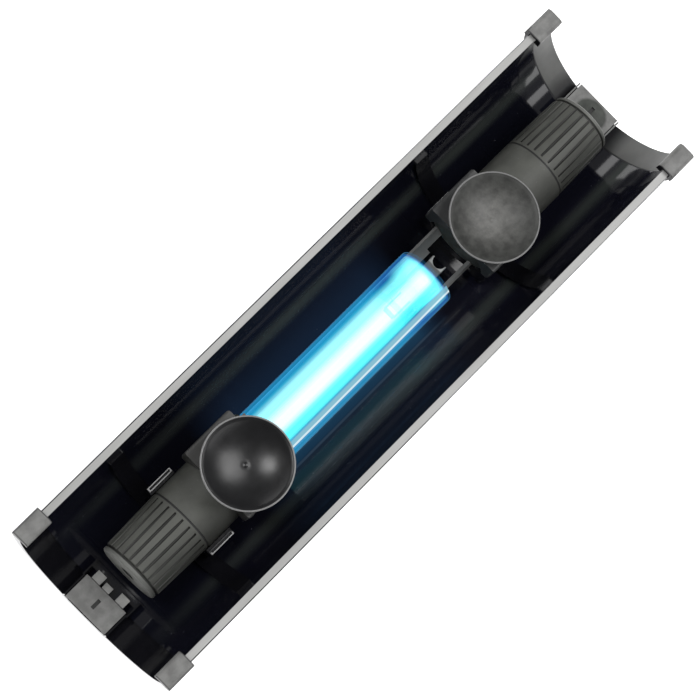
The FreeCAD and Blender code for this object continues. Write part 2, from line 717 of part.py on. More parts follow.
def make_base_and_socket():
    base_x = "tube_start_x - base_length"
    keep(rod("lamp_base_body", "base_r", base_x, "tube_start_x"), "lamp_base")
    pins = pin_rods("pin", "pin_r", base_x + " - pin_length", base_x)
    keep(fuse("pins_fused", pins), "lamp_pins")
    socket_end = base_x + " - 0.2"
    socket_x = socket_end + " - socket_length"
    body = rod("socket_body", "socket_r", socket_x, socket_end)
    wells = pin_rods("socket_well", "contact_r", base_x + " - pin_length - 2", base_x)
    keep(cut("socket_cut", body, wells), "lamp_socket")
    sleeves = []
    outers = pin_rods("contact_outer", "contact_r", base_x + " - pin_length - 1.8", socket_end + " - 0.4")
    inners = pin_rods("contact_inner", "pin_r", base_x + " - pin_length - 0.2", base_x)
    for i, (outer, inner) in enumerate(zip(outers, inners), start=1):
        sleeves.append(cut("contact_%d" % i, outer, [inner]))
    keep(fuse("contacts_fused", sleeves), "socket_contacts")


def make_cap(end, side):
    """A ribbed screw cap. Its spigot runs in the barrel, and its axis is the body's own X."""
    outer_x = "cap_spigot_length + cap_length"
    disc_x = outer_x + " - cap_disc"
    rib_end = disc_x + " - cap_ring_groove"
    points = [
        ("0", "cap_cavity_r"),
        ("0", "cap_spigot_r"),
        ("cap_spigot_length", "cap_spigot_r"),
        ("cap_spigot_length", "cap_root_r"),
        ("cap_spigot_length + cap_shoulder", "cap_root_r"),
        (rib_end + " - cap_rib_chamfer", "cap_tip_r"),
        (rib_end, "cap_tip_r - cap_rib_chamfer"),
        (rib_end, "cap_ring_groove_r"),
        (disc_x, "cap_ring_groove_r"),
        (disc_x, "cap_disc_r"),
        (outer_x + " - cap_disc_chamfer", "cap_disc_r"),
        (outer_x, "cap_disc_r - cap_disc_chamfer"),
    ]
    if side < 0:
        points += [(outer_x, "inlet_r"), (outer_x + " - cap_wall", "inlet_r")]
    else:
        points += [(outer_x, "0"), (outer_x + " - cap_wall", "0")]
    points.append((outer_x + " - cap_wall", "cap_cavity_r"))
    body = turned_body(end + "_cap", points, "H_Axis")
    plain = body.Shape.Volume

    groove = body.newObject("Sketcher::SketchObject", end + "_cap_groove")
    groove.AttachmentSupport = [(origin_item(body, "YZ_Plane"), "")]
    groove.MapMode = "FlatFace"
    groove.setExpression("AttachmentOffset.Base.z", linked("cap_spigot_length + cap_groove_margin"))
    centre_r = size("cap_root_r") - size("cap_groove_inset")
    circle = Part.Circle(FreeCAD.Vector(0, centre_r, 0), FreeCAD.Vector(0, 0, 1), size("cap_groove_r"))
    groove.addGeometry(circle, False)
    groove.addConstraint(Sketcher.Constraint("PointOnObject", 0, 3, -2))
    height = groove.addConstraint(Sketcher.Constraint("DistanceY", -1, 1, 0, 3, centre_r))
    groove.setExpression("Constraints[%d]" % height, linked("cap_root_r - cap_groove_inset"))
    radius = groove.addConstraint(Sketcher.Constraint("Radius", 0, size("cap_groove_r")))
    groove.setExpression("Constraints[%d]" % radius, linked("cap_groove_r"))
    pocket = body.newObject("PartDesign::Pocket", end + "_cap_flute")
    pocket.Profile = groove
    pocket.Type = "Length"
    groove_length = "cap_length - cap_groove_margin - cap_disc - cap_ring_groove / 2"
    pocket.setExpression("Length", linked(groove_length))
    pocket.Reversed = True
    doc.recompute()
    pattern = body.newObject("PartDesign::PolarPattern", end + "_cap_flutes")
    pattern.Originals = [pocket]
    pattern.Axis = (origin_item(body, "X_Axis"), [""])
    pattern.Angle = 360
    pattern.setExpression("Occurrences", linked("cap_rib_count"))
    body.Tip = pattern
    doc.recompute()
    if body.Shape.Volume > plain - 100:
        raise ValueError("the flutes cut nothing on %s cap" % end)
    rotation = HALF_TURN if side < 0 else ALONG_Z
    if side > 0:
        half_rib = FreeCAD.Rotation(FreeCAD.Vector(1, 0, 0), 180 / size("cap_rib_count"))
        rotation = half_rib
    stand(body, "lamp_mid_x + %d * (seam_x - cap_spigot_length)" % side, "lamp_z", rotation)
    keep(body, end + "_cap")


def make_gland():
    """The rubber grommet in the middle of the cable end's cap."""
    outer = "lamp_mid_x - seam_x - cap_length"
    neck = rod("gland_neck", "inlet_r", outer, outer + " + gland_length")
    flange = rod("gland_flange", "gland_flange_r", outer + " + cap_wall",
                 outer + " + cap_wall + gland_flange")
    bore = rod("gland_bore", "gland_bore_r", outer + " - 1", outer + " + gland_length + 1")
    keep(cut("gland_cut", fuse("gland_blank", [neck, flange]), [bore]), "cable_gland")


def make_tail_plug():
    """A disc inside the tail cap's spigot, which travels with the cap as it is unscrewed."""
    x1 = "lamp_mid_x + seam_x - cap_spigot_length - ring_gap"
    disc = rod("tail_plug_disc", "ring_outer_r", x1 + " - ring_thickness", x1)
    dish = rod("tail_plug_dish", "ring_inner_r", x1 + " - ring_thickness - 1", x1 + " - ring_thickness + 1")
    keep(cut("tail_plug_cut", disc, [dish]), "tail_plug")


# ---------------------------------------------------------------- suction cups

def make_holder(end, side):
    """A saddle clip over a barrel, with a boss for the cup's neck and a release lug."""
    name = end + "_holder_"
    centre = end + "_holder_x"
    x0 = "%s - holder_length / 2" % centre
    x1 = "%s + holder_length / 2" % centre
    body = block(name + "body", x0, x1, "-holder_half_width", "holder_half_width",
                 "holder_skirt_z", "holder_top_z")
    top_z = size("holder_top_z")

    def top_or_corner(edge):
        box = edge.BoundBox
        return box.ZLength > 5 or (box.ZMin > top_z - 0.01 and box.XLength > 5)

    soft = rounded(name + "soft", body, size("holder_round"), top_or_corner)
    claw_x0 = "%s - claw_length - 0.3" % x1
    claws = [
        arc_wall(name + "claw_left", "claw_outer_r", "holder_bore_r", size("claw_start"), "claw_sweep",
                 claw_x0, x1 + " - 0.3", "lamp_z"),
        arc_wall(name + "claw_right", "claw_outer_r", "holder_bore_r",
                 -size("claw_start") - size("claw_sweep"), "claw_sweep", claw_x0, x1 + " - 0.3", "lamp_z"),
    ]
    neck_x = centre + " + cup_shift_x"
    boss = post(name + "boss", "boss_r", "holder_top_z - 1", "boss_z", neck_x, "cup_shift_y")
    lug = block(name + "lug", x1 + " - 1", x1 + " + lug_length", "lug_y - lug_width / 2",
                "lug_y + lug_width / 2", "holder_top_z - lug_depth - 1", "holder_top_z - 1")
    solid = fuse(name + "solid", [soft, boss, lug] + claws)
    bore = rod(name + "bore", "holder_bore_r", x0 + " - 1", x1 + " + lug_length + 1")
    pocket = post(name + "pocket", "pocket_r", "pocket_z", "pocket_top_z", neck_x, "cup_shift_y")
    neck = post(name + "neck", "neck_bore_r", "pocket_z", "boss_z + 1", neck_x, "cup_shift_y")
    keep(cut(name + "cut", solid, [bore, pocket, neck]), end + "_cup_holder")


def make_cup(end, side):
    """A suction cup: a bowl between two balls, with a neck and a bulb held in the boss."""
    name = end + "_cup_"
    x = end + "_holder_x + cup_shift_x"
    y = "cup_shift_y"
    outer_ball = ball(name + "outer_ball", "cup_outer_sphere_r", "cup_bottom_z + cup_outer_sphere_r", x, y)
    trim = post(name + "trim", "cup_r", "cup_bottom_z", "cup_lip_z", x, y)
    dish = common(name + "dish", [outer_ball, trim])
    neck = post(name + "neck", "neck_r", "bulb_z", "cup_bottom_z + 1", x, y)
    bulb = post(name + "bulb", "bulb_r", "bulb_z", "bulb_top_z", x, y)
    solid = fuse(name + "solid", [dish, neck, bulb])
    bowl = ball(name + "bowl", "cup_inner_sphere_r", "cup_bowl_z + cup_inner_sphere_r", x, y)
    hollow = cut(name + "hollow", solid, [bowl])
    nub = post(name + "nub", "nub_r", "cup_bowl_z - 0.5", "cup_bowl_z + nub_height", x, y)
    keep(fuse(name + "fused", [hollow, nub]), end + "_suction_cup")


# ---------------------------------------------------------------- build and export

make_shade()
for end, side in near_far():
    make_collar(end, side)
    make_keeper(end, side)
    make_cradle(end, side)
make_feet()
make_screws()
make_barrels()
make_struts()
make_sleeve()
make_seal()
make_uv_tube()
make_spacer()
make_base_and_socket()
make_gland()
make_tail_plug()
for end, side in near_far():
    make_cap(end, side)
    make_holder(end, side)
    make_cup(end, side)
doc.recompute()

for item in doc.Objects:
    failed = {"Invalid", "Error"} & set(item.State)
    if failed:
        raise RuntimeError("%s is %s" % (item.Name, ", ".join(failed)))

os.makedirs("parts", exist_ok=True)
for item in parts:
    shape = item.Shape
    if shape.isNull() or not shape.isValid() or not shape.Solids:
        raise RuntimeError("%s has no valid solid" % item.Label)
    shape.exportStep("parts/%s.step" % item.Label)
    box = shape.BoundBox
    print("%-18s solids %d  x %7.2f %7.2f  y %6.2f %6.2f  z %6.2f %6.2f" % (
        item.Label, len(shape.Solids), box.XMin, box.XMax, box.YMin, box.YMax, box.ZMin, box.ZMax))
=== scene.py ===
import json
import math

import bmesh
import bpy
from mathutils import Euler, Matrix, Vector


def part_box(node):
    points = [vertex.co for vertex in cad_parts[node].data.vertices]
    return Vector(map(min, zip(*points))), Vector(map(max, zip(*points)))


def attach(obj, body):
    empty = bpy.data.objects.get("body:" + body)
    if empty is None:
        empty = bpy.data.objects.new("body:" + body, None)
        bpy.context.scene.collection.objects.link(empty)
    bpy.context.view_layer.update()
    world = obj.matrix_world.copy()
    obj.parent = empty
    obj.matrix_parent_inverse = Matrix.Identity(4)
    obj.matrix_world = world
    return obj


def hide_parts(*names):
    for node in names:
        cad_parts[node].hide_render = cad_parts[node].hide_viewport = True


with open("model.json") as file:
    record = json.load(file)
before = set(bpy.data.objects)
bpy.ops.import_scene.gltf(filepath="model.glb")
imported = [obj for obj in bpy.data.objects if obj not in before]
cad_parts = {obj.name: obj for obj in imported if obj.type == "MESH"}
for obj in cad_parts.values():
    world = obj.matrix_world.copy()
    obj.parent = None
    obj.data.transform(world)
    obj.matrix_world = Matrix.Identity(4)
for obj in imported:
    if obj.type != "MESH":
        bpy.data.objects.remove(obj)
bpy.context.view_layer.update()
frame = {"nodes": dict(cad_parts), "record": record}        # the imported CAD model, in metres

# A UV clarifier: a lit lamp unit with suction cups, standing in a half-pipe light shade.
# X runs along the lamp from the cable end to the tail end, Z is up. One millimetre is MM.

MM = 0.001
SHADE_LOW, SHADE_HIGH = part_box("shade_shell")
RIM_Z = SHADE_HIGH.z
SHADE_R = SHADE_HIGH.y
COLLAR_LOW, COLLAR_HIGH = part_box("near_end_collar")
KEEPER_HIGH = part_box("near_cable_keeper")[1]
FAR_KEEPER_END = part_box("far_cable_keeper")[1].x
CRADLE_ARM = 16.2 * MM      # how far the arms' tips stand above the barrel's underside
CRADLE_TIP_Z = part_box("near_barrel")[0].z + CRADLE_ARM
CAP_LOW, CAP_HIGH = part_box("near_cap")
CAP_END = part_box("far_cap")[1].x
LAMP_MID_X = (CAP_LOW.x + CAP_END) / 2
SLEEVE_LOW, SLEEVE_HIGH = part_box("quartz_sleeve")
LAMP_Z = (SLEEVE_LOW.z + SLEEVE_HIGH.z) / 2
TUBE_LOW, TUBE_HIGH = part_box("uv_tube")
REST_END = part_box("sleeve_rest")[1].x

DUST = (0.2, 0.2, 0.21)
OLIVE = ((0.068, 0.070, 0.062), (0.092, 0.095, 0.084))

scene = bpy.context.scene


# ---------------------------------------------------------------- node helpers

def new_material(name):
    """An empty material with its output node."""
    material = bpy.data.materials.new(name)
    material.use_nodes = True
    tree = material.node_tree
    tree.nodes.clear()
    tree.nodes.new("ShaderNodeOutputMaterial").name = "out"
    return material, tree


def node(tree, kind, inputs=None, **settings):
    """A shader node. An input is a value, or the socket of another node to link to."""
    made = tree.nodes.new("ShaderNode" + kind)
    for key, value in settings.items():
        setattr(made, key, value)
    for key, value in (inputs or {}).items():
        if isinstance(value, bpy.types.NodeSocket):
            tree.links.new(value, made.inputs[key])
        else:
            made.inputs[key].default_value = value
    return made


def show(tree, shader):
    tree.links.new(shader.outputs[0], tree.nodes["out"].inputs["Surface"])


def place(tree, stretch=(1, 1, 1)):
    """Coordinates in metres that stay with the piece, stretched along its axes."""
    where = node(tree, "TexCoord").outputs["Object"]
    return node(tree, "Mapping", {"Vector": where, "Scale": stretch}).outputs[0]


def axis_value(tree, axis):
    """The height or the place along an axis, in metres."""
    return node(tree, "SeparateXYZ", {0: node(tree, "TexCoord").outputs["Object"]}).outputs[axis]


def absolute(tree, value):
    return math_node(tree, "ABSOLUTE", value, 0.0)


def distance(tree, centre, stretch):
    """How far a point is from a centre, or from an axis where the stretch is 0 along it."""
    where = node(tree, "TexCoord").outputs["Object"]
    offset = node(tree, "VectorMath", {0: where, 1: centre}, operation="SUBTRACT").outputs[0]
    flat = node(tree, "VectorMath", {0: offset, 1: stretch}, operation="MULTIPLY").outputs[0]
    return node(tree, "VectorMath", {0: flat}, operation="LENGTH").outputs["Value"]


def all_of(tree, *shares):
    """The product of several shares."""
    product = shares[0]
    for share in shares[1:]:
        product = math_node(tree, "MULTIPLY", product, share)
    return product


def band(tree, value, centre, half_width):
    """One where a value is at the centre of a band, falling to zero at its edges."""
    off = absolute(tree, math_node(tree, "SUBTRACT", value, centre))
    return between(tree, off, half_width * 0.5, half_width, 1.0, 0.0)


def soft_band(tree, value, centre, half_width):
    """Like band, but falling off smoothly all the way from its centre."""
    off = absolute(tree, math_node(tree, "SUBTRACT", value, centre))
    return between(tree, off, 0.0, half_width, 1.0, 0.0, smooth=True)


def noise(tree, scale, detail=3.0, stretch=(1, 1, 1), roughness=0.55):
    made = node(tree, "TexNoise", {"Vector": place(tree, stretch), "Scale": scale, "Detail": detail,
                                   "Roughness": roughness})
    return made.outputs["Fac"]


def between(tree, value, low, high, to_low=0.0, to_high=1.0, smooth=False):
    made = node(tree, "MapRange", {"Value": value, "From Min": low, "From Max": high,
                                   "To Min": to_low, "To Max": to_high})
    made.interpolation_type = "SMOOTHSTEP" if smooth else "LINEAR"
    return made.outputs["Result"]


def math_node(tree, operation, a, b):
    return node(tree, "Math", {0: a, 1: b}, operation=operation).outputs[0]


def mix_colour(tree, share, a, b):
    made = node(tree, "Mix", data_type="RGBA")
    for key, value in ((0, share), (6, a), (7, b)):
        if isinstance(value, bpy.types.NodeSocket):
            tree.links.new(value, made.inputs[key])
        else:
            made.inputs[key].default_value = value if key == 0 else (*value, 1)
    return made.outputs[2]


def bump(tree, height, depth):
    return node(tree, "Bump", {"Height": height, "Distance": depth, "Strength": 1.0}).outputs[0]


def specks(tree, scale, size, keep=0.5):
    """One where a speck of dust lies, else zero. Only the share keep of the cells has a speck."""
    cells = node(tree, "TexVoronoi", {"Vector": place(tree), "Scale": scale, "Randomness": 1.0})
    spot = between(tree, cells.outputs["Distance"], size * 0.6, size, 1.0, 0.0)
    chance = node(tree, "SeparateColor", {0: cells.outputs["Color"]}).outputs[0]
    return math_node(tree, "MULTIPLY", spot, math_node(tree, "LESS_THAN", chance, keep))


# ---------------------------------------------------------------- materials

def gloss(tree, scale, low, high):
    """A roughness that varies between two values from place to place."""
    return between(tree, noise(tree, scale, 4), 0.3, 0.7, low, high)


def surface(tree, colour, roughness, grain, specular=0.5):
    """An opaque surface with a fine grain, given as its scale and its depth in millimetres."""
    scale, depth = grain
    show(tree, node(tree, "BsdfPrincipled", {
        "Base Color": colour,
        "Roughness": roughness,
        "Specular IOR Level": specular,
        "Normal": bump(tree, noise(tree, scale, 3), depth * MM),
    }))


def two_tone(tree, patch, dark, light):
    """Patches of two close tones."""
    return mix_colour(tree, between(tree, noise(tree, patch, 4), 0.35, 0.65), dark, light)


def scaled(colour, factor):
    return tuple(c * factor for c in colour)


def patchy(tree, colour, spread=0.14, patch=70):
    """A colour that varies a little from place to place."""
    return two_tone(tree, patch, scaled(colour, 1 - spread), scaled(colour, 1 + spread))


def dusty(tree, colour, share):
    """The colour under a few specks of dust."""
    spots = math_node(tree, "MULTIPLY", specks(tree, 520, 0.16), share)
    return mix_colour(tree, spots, colour, DUST)


def moulded(name, dark, light, rough=(0.42, 0.55), grain=(2600, 0.02), patch=60, specular=0.5):
    """Moulded plastic or rubber: two close tones, an uneven gloss and a fine grain."""
    material, tree = new_material(name)
    surface(tree, two_tone(tree, patch, dark, light), gloss(tree, patch * 2, *rough), grain, specular)
    return material


def rubber(name, dark, light, rough):
    return moulded(name, dark, light, rough, grain=(1500, 0.012), patch=90, specular=0.45)


def collar_plastic():
    """Smooth black moulding. The matt hooks' tops are painted grey as the light on them, with painted
    shade at the hooks' mouths, outer ends and outer sides. The far collar's inside band is painted pale
    grey above its floor as a painted reflection, with a painted shadow line where it steps down from
    the shade.
    """
    material, tree = new_material("collar_black")
    height = axis_value(tree, "Z")
    along = absolute(tree, axis_value(tree, "X"))
    across = absolute(tree, axis_value(tree, "Y"))
    # Painted highlight: the hooks' tops are grey as the light on them.
    hook = between(tree, height, RIM_Z - 3.4 * MM, RIM_Z - 2.8 * MM)
    # Painted shade: the hooks are dark at their mouths, at their outer ends and on their outer sides.
    past_shade = between(tree, along, SHADE_HIGH.x - 1.25 * MM, SHADE_HIGH.x - 0.75 * MM)
    end = between(tree, along, -COLLAR_LOW.x - 0.5 * MM, -COLLAR_LOW.x - 0.2 * MM, 1.0, 0.25)
    outside = between(tree, across, COLLAR_HIGH.y - 0.9 * MM, COLLAR_HIGH.y - 0.3 * MM, 1.0, 0.1)
    grey = all_of(tree, hook, past_shade, end, outside)
    # Painted reflection: the far collar's inside band is pale grey above its floor, with a dark painted
    # shadow line just past the shade's end.
    far = between(tree, axis_value(tree, "X"), -10 * MM, 10 * MM)
    step = between(tree, along, SHADE_HIGH.x + 0.9 * MM, SHADE_HIGH.x + 1.2 * MM)
    above_floor = between(tree, height, RIM_Z - 33.5 * MM, RIM_Z - 30 * MM)
    wall = mix_colour(tree, all_of(tree, far, step, above_floor), patchy(tree, (0.006, 0.006, 0.008)),
                      patchy(tree, (0.13, 0.132, 0.128), 0.2, 60))
    colour = mix_colour(tree, grey, wall, patchy(tree, (0.19, 0.19, 0.185), 0.2, 220))
    roughness = math_node(tree, "MAXIMUM", between(tree, hook, 0, 1, 0.08, 0.5),
                          between(tree, far, 0, 1, 0.08, 0.4))
    surface(tree, colour, roughness, (2400, 0.012))
    return material


def keeper_plastic():
    """Matt grey on top, with a painted highlight on the paler tabs and painted shade down the sides.
    The far one has a round painted shadow of the far cap.
    """
    material, tree = new_material("keeper_grey")
    top = between(tree, axis_value(tree, "Z"), KEEPER_HIGH.z - 0.5 * MM, KEEPER_HIGH.z - 0.3 * MM)
    along = absolute(tree, axis_value(tree, "X"))
    # Painted highlight: the tabs are paler as the light on them.
    tabs = between(tree, along, SHADE_HIGH.x - 0.2 * MM, SHADE_HIGH.x, 1.0, 0.0)
    grey = mix_colour(tree, tabs, patchy(tree, (0.195, 0.195, 0.19), 0.2, 230),
                      patchy(tree, (0.34, 0.34, 0.33), 0.2, 230))
    # Painted shadow: a round dark patch on the far keeper where the far cap's shadow falls.
    cap_shadow_at = (FAR_KEEPER_END - 6.3 * MM, -0.8 * MM, 0)
    cap_shadow = between(tree, distance(tree, cap_shadow_at, (1, 0.83, 0)), 5.3 * MM, 6.3 * MM, 1.0, 0.0)
    grey = mix_colour(tree, cap_shadow, grey, patchy(tree, (0.045, 0.05, 0.043), 0.3, 230))
    # Painted shade: everything below the top face is near black.
    colour = mix_colour(tree, top, patchy(tree, (0.02, 0.02, 0.02)), grey)
    surface(tree, colour, gloss(tree, 140, 0.5, 0.65), (2400, 0.03))
    return material


def cradle_plastic():
    """Glossy black, with painted highlights on the arms' tips, dimmed by painted shade on the right
    arm's inner rail.
    """
    material, tree = new_material("cradle_black")
    # Painted highlight: the arms' tips are pale as the light on them.
    tip = between(tree, axis_value(tree, "Z"), CRADLE_TIP_Z - 0.4 * MM, CRADLE_TIP_Z - 0.15 * MM)
    side = axis_value(tree, "Y")
    arms = between(tree, absolute(tree, side), 18 * MM, 18.5 * MM, 1.0, 0.0)
    # Painted shade: the right arm's inner rail keeps only a tenth of the highlight.
    inner = between(tree, side, -16.3 * MM, -16.1 * MM)
    left = between(tree, side, -1 * MM, 1 * MM)
    rail_shade = between(tree, math_node(tree, "SUBTRACT", inner, left), 0, 1, 1.0, 0.1)
    colour = mix_colour(tree, all_of(tree, tip, arms, rail_shade), patchy(tree, (0.006, 0.006, 0.008)),
                        patchy(tree, (0.42, 0.42, 0.42)))
    surface(tree, colour, gloss(tree, 140, 0.15, 0.25), (2400, 0.008))
    return material


def strut_plastic():
    """Mid grey, near black where the bars run under the sleeve; the rest's two points are near white.
    """
    material, tree = new_material("strut_plastic")
    along = axis_value(tree, "X")
    rest_wide = between(tree, absolute(tree, axis_value(tree, "Y")), 4.6 * MM, 4.8 * MM, 1.0, 0.0)
    rest_long = between(tree, along, REST_END + 0.1 * MM, REST_END + 0.2 * MM, 1.0, 0.0)
    point = between(tree, along, REST_END - 3.2 * MM, REST_END - 2.6 * MM)
    past_sleeve_end = between(tree, along, SLEEVE_HIGH.x - 3 * MM, SLEEVE_HIGH.x)
    bars = mix_colour(tree, past_sleeve_end, patchy(tree, (0.008, 0.008, 0.01)), patchy(tree, (0.24, 0.24, 0.235)))
    colour = mix_colour(tree, all_of(tree, point, rest_wide, rest_long), bars,
                        patchy(tree, (0.8, 0.8, 0.78)))
    surface(tree, colour, gloss(tree, 150, 0.35, 0.45), (2400, 0.02))
    return material


def holder_plastic():
    """Dark matt moulding with a fine grain. The near holder is painted a little paler and the far one
    darker, as painted light and shade.
    """
    material, tree = new_material("holder_plastic")
    # Painted light and shade: the near holder is paler and the far one darker.
    far = between(tree, axis_value(tree, "X"), -10 * MM, 10 * MM)
    colour = mix_colour(tree, far, patchy(tree, (0.06, 0.06, 0.058), 0.25),
                        patchy(tree, (0.042, 0.043, 0.044), 0.25))
    surface(tree, dusty(tree, colour, 0.15), gloss(tree, 120, 0.35, 0.5), (2600, 0.03))
    return material


def painted_side_shade(tree, colour):
    """Painted shade on the lamp's turned plastic: darker on its right side, and a little darker on its
    left, than along its top.
    """
    side = axis_value(tree, "Y")
    right = between(tree, side, -13 * MM, -1 * MM, 0.0, 1.0, smooth=True)
    left = between(tree, side, 4 * MM, 14 * MM, 1.0, 0.7)
    side_shade_colour = mix_colour(tree, 0.5, colour, (0.0, 0.0, 0.0))
    return mix_colour(tree, math_node(tree, "MINIMUM", right, left), side_shade_colour, colour)


def barrel_plastic():
    """Matt olive grey with a fine grain, a little dust and painted shade on its sides."""
    material, tree = new_material("barrel_plastic")
    colour = painted_side_shade(tree, dusty(tree, two_tone(tree, 120, *OLIVE), 0.2))
    surface(tree, colour, gloss(tree, 240, 0.5, 0.62), (1100, 0.06))
    return material


def cap_plastic():
    """Matt olive grey, with painted shade in the grooves between the ribs and behind the end disc,
    which is paler, and on its sides.
    """
    material, tree = new_material("cap_plastic")
    spigot = 6.5 * MM
    shoulder = 0.9 * MM
    disc_length = 1.5 * MM
    ring_groove = 0.8 * MM
    seam = LAMP_MID_X - (CAP_HIGH.x - spigot)
    disc = CAP_END - LAMP_MID_X - disc_length
    ribs_end = disc - ring_groove
    along = absolute(tree, math_node(tree, "SUBTRACT", axis_value(tree, "X"), LAMP_MID_X))
    radius = distance(tree, (0, 0, LAMP_Z), (0, 1, 1))
    rib_top = between(tree, along, seam + shoulder, ribs_end, 13.9 * MM, 13.25 * MM)
    groove = between(tree, math_node(tree, "SUBTRACT", rib_top, radius), 0.12 * MM, 0.42 * MM)
    on_ribs = between(tree, along, ribs_end, ribs_end + 0.05 * MM, 1.0, 0.0)
    behind_disc = all_of(tree, between(tree, along, ribs_end - 0.05 * MM, ribs_end),
                         between(tree, along, disc - 0.1 * MM, disc, 1.0, 0.0))
    # Painted shade in the grooves between the ribs and behind the end disc.
    groove_shade = math_node(tree, "MAXIMUM", all_of(tree, groove, on_ribs), behind_disc)
    unshaded = mix_colour(tree, between(tree, along, disc, disc + 0.1 * MM), two_tone(tree, 90, *OLIVE),
                       patchy(tree, (0.135, 0.138, 0.128)))
    colour = mix_colour(tree, groove_shade, painted_side_shade(tree, unshaded), (0.018, 0.018, 0.016))
    surface(tree, colour, gloss(tree, 180, 0.48, 0.6), (1500, 0.03))
    return material


def cup_rubber(end, centre_colour, edge_colour, lip_highlight_colour, rough, grain_depth, mottle, specular):
    """Soft rubber. The colour runs from the bowl's middle to its edge, which on the far cup paints a
    lighter middle as the light falling into the bowl, and the lip carries a painted highlight on its
    bead.
    """
    material, tree = new_material(end + "_cup_rubber")
    low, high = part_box(end + "_suction_cup")
    reach = (high.x - low.x) / 2
    centre = ((low.x + high.x) / 2, (low.y + high.y) / 2, 0)
    out = distance(tree, centre, (1, 1, 0))
    # Painted light: on the far cup the middle of the bowl is lighter as the light falling into it.
    bowl = mix_colour(tree, between(tree, out, 0, reach * 0.95, smooth=True),
                      patchy(tree, centre_colour, mottle, 300), patchy(tree, edge_colour, mottle, 300))
    # Painted highlight: the lip's bead is pale.
    lip = all_of(tree, between(tree, out, reach - 0.75 * MM, reach - 0.55 * MM),
                 between(tree, axis_value(tree, "Z"), high.z - 0.7 * MM, high.z - 0.4 * MM))
    surface(tree, mix_colour(tree, lip, bowl, lip_highlight_colour), gloss(tree, 150, *rough),
            (1400, grain_depth), specular)
    return material


def tinted_clear(name, colour, emission, body_share):
    """Clear plastic in front of the light, which tints it. Where its body shows, it glows with painted
    lamp light.
    """
    material, tree = new_material(name)
    see = node(tree, "BsdfTransparent", {"Color": (*colour, 1)})
    # The body's emission is a painted glow from the lamp behind it.
    body = node(tree, "BsdfPrincipled", {"Base Color": (*scaled(colour, 0.4), 1), "Roughness": 0.2,
                                         "Emission Color": (*emission, 1), "Emission Strength": 1.0})
    share = between(tree, noise(tree, 300, 3), 0.3, 0.7, body_share * 0.7, body_share * 1.3)
    show(tree, node(tree, "MixShader", {0: share, 1: see.outputs[0], 2: body.outputs[0]}))
    return material


def painted_reflection_streaks(tree):
    """Where two long painted reflection streaks lie on the inside of the shade, clear of its rims."""
    side = axis_value(tree, "Y")
    reflection_streaks = math_node(tree, "MAXIMUM", soft_band(tree, side, 26.5 * MM, 3.6 * MM),
                      soft_band(tree, side, -25.0 * MM, 4.0 * MM))
    uneven = all_of(tree, between(tree, noise(tree, 30, 3, (0.35, 1.4, 1.4)), 0.3, 0.7, 0.35, 1.0),
                    between(tree, axis_value(tree, "X"), SHADE_LOW.x, SHADE_LOW.x + 70 * MM, 0.1, 1.0))
    low = between(tree, axis_value(tree, "Z"), RIM_Z - 8 * MM, RIM_Z - 12 * MM)
    return all_of(tree, reflection_streaks, uneven, low)


def lamp_spill(tree):
    """The lamp's blue light on the shade: where it falls and its colour, stronger in one strip."""
    side = axis_value(tree, "Y")
    along = axis_value(tree, "X")
    lit_length = all_of(tree, between(tree, along, TUBE_LOW.x, TUBE_LOW.x + 20 * MM),
                        between(tree, along, SLEEVE_HIGH.x - 14 * MM, SLEEVE_HIGH.x, 1.0, 0.0))
    strip = all_of(tree, lit_length, band(tree, side, -14.2 * MM, 3.3 * MM))
    blue = mix_colour(tree, strip, (0.007, 0.019, 0.043), (0.009, 0.05, 0.105))
    blue = mix_colour(tree, band(tree, side, -17.0 * MM, 0.6 * MM), blue, (0.04, 0.075, 0.12))
    return all_of(tree, lit_length, soft_band(tree, side, 0.0, 34 * MM)), blue


def shade_plastic():
    """Glossy black with a faint violet tint, and a pale painted highlight on the top face of each rim.
    """
    material, tree = new_material("shade_plastic")
    tone = between(tree, noise(tree, 14, 4, (0.3, 1, 1)), 0.35, 0.65)
    black = mix_colour(tree, tone, (0.004, 0.0045, 0.008), (0.008, 0.008, 0.015))
    specks_share = math_node(tree, "MULTIPLY", specks(tree, 260, 0.085, 0.3), 0.22)
    black = mix_colour(tree, specks_share, black, (0.2, 0.21, 0.24))
    inner = between(tree, distance(tree, (0, 0, RIM_Z), (0, 1, 1)), 35.7 * MM, 36.3 * MM, 1.0, 0.0)
    # Painted reflection: two pale streaks along the inside of the shade.
    black = mix_colour(tree, all_of(tree, painted_reflection_streaks(tree), inner), black, (0.042, 0.048, 0.045))
    spill, blue = lamp_spill(tree)
    # Painted highlight: the rims' top faces are pale as the light on them.
    on_rim = between(tree, axis_value(tree, "Z"), RIM_Z - 0.12 * MM, RIM_Z - 0.04 * MM)
    land = between(tree, absolute(tree, axis_value(tree, "Y")), SHADE_R - 0.5 * MM, SHADE_R - 0.35 * MM,
                   1.0, 0.0)
    on_land = math_node(tree, "MULTIPLY", on_rim, land)
    pale = mix_colour(tree, between(tree, noise(tree, 180, 3, (0.15, 1, 1)), 0.3, 0.7),
                      (0.38, 0.38, 0.37), (0.47, 0.47, 0.46))
    polish = between(tree, noise(tree, 45, 3, (0.2, 1, 1)), 0.3, 0.7, 0.06, 0.11)
    show(tree, node(tree, "BsdfPrincipled", {
        "Base Color": mix_colour(tree, on_land, black, pale),
        "Roughness": math_node(tree, "ADD", polish, between(tree, on_land, 0.0, 1.0, 0.0, 0.35)),
        "Specular IOR Level": 0.75,
        "Emission Color": mix_colour(tree, all_of(tree, spill, inner), (0, 0, 0), blue),
        "Emission Strength": 1.0,
        "Normal": bump(tree, noise(tree, 95, 2, (0.12, 1, 1)), 0.03 * MM),
    }))
    return material


